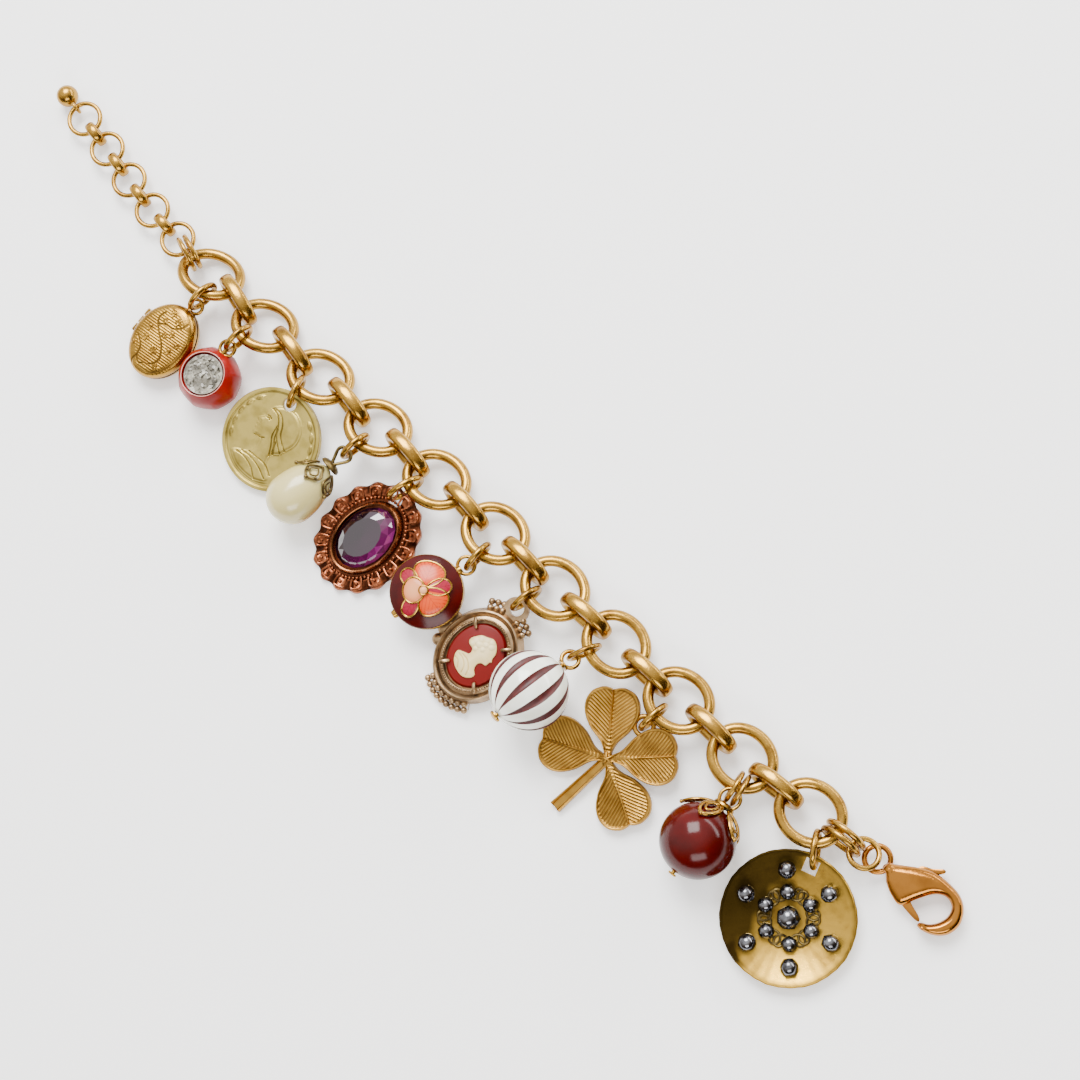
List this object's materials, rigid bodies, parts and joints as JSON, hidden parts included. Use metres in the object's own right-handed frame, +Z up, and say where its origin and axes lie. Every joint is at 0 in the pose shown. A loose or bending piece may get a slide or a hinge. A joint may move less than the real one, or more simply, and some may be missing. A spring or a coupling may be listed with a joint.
{
  "type": "charm bracelet",
  "caption": "Chain bracelet of big oval links with an extender chain, a lobster clasp and a row of assorted charms on jump rings, laid out flat in a line.",
  "frame": {"origin": "middle of the bounding box in plan, on the surface that the bracelet lies on", "axes": "+X along the chain towards the clasp, +Y across the chain away from the charms, +Z up"},
  "size_m": [0.202, 0.0362, 0.0141],
  "materials": {
    "brass": "polished, lightly aged",
    "old_brass": "patinated",
    "coin_brass": "worn, satin",
    "copper": "antique copper, polished on the high parts",
    "pale_gilt": "pale gilt, satin",
    "coral": "polished",
    "crystal": "rough crystalline",
    "pearl": "pearly lustre",
    "amethyst": "faceted, deep colour",
    "enamel": "glossy enamel",
    "carnelian": "polished, with a cream relief",
    "white_enamel": "glossy, dark grooves",
    "dark_stone": "high polish"
  },
  "bodies": {
    "bracelet": {"extender_chain": "brass", "extender_ball": "brass", "main_link_01": "brass", "main_link_02": "brass", "main_link_03": "brass", "main_link_04": "brass", "main_link_05": "brass", "main_link_06": "brass", "main_link_07": "brass", "main_link_08": "brass", "main_link_09": "brass", "main_link_10": "brass", "main_link_11": "brass", "joining_link_01": "brass", "joining_link_02": "brass", "joining_link_03": "brass", "joining_link_04": "brass", "joining_link_05": "brass", "joining_link_06": "brass", "joining_link_07": "brass", "joining_link_08": "brass", "joining_link_09": "brass", "joining_link_10": "brass", "extender_jump_ring_1": "brass", "extender_jump_ring_2": "brass", "locket_back": "brass", "locket_jump_ring": "brass", "coral_bead": "coral", "crystal_disc": "crystal", "coral_jump_ring": "brass", "coin": "coin_brass", "coin_jump_ring": "brass", "pearl_drop": "pearl", "pearl_cap": "old_brass", "pearl_jump_ring": "brass", "oval_frame": "copper", "amethyst": "amethyst", "oval_jump_ring": "brass", "orchid_bead": "enamel", "orchid_jump_ring": "brass", "cameo_frame": "pale_gilt", "cameo_stone": "carnelian", "cameo_jump_ring": "brass", "striped_ball": "white_enamel", "striped_pin": "brass", "striped_jump_ring": "brass", "clover": "brass", "clover_jump_ring": "brass", "dark_bead": "dark_stone", "dark_cap": "brass", "dark_jump_ring_1": "brass", "dark_jump_ring_2": "brass", "button": "old_brass", "button_jump_ring": "brass", "clasp_ring_1": "brass", "clasp_ring_2": "brass", "eye_ring": "brass", "clasp_body": "brass"},
    "locket_cover": {"locket_front": "brass"},
    "lever": {"clasp_lever": "brass"}
  },
  "joints": [
    {"name": "locket_hinge", "type": "hinge", "parent": "bracelet", "child": "locket_cover", "pos_m": [-0.06008, -0.00845, 0.00302], "axis": [0, -0.9877, -0.1564], "range_deg": [0, 120]},
    {"name": "clasp_lever_pivot", "type": "hinge", "parent": "bracelet", "child": "lever", "pos_m": [0.09163, 0.01312, 0.0017], "axis": [0, 0, 1], "range_deg": [0, 22], "stiffness_Nm_per_rad": 0.0004, "springref_deg": -5.73}
  ]
}
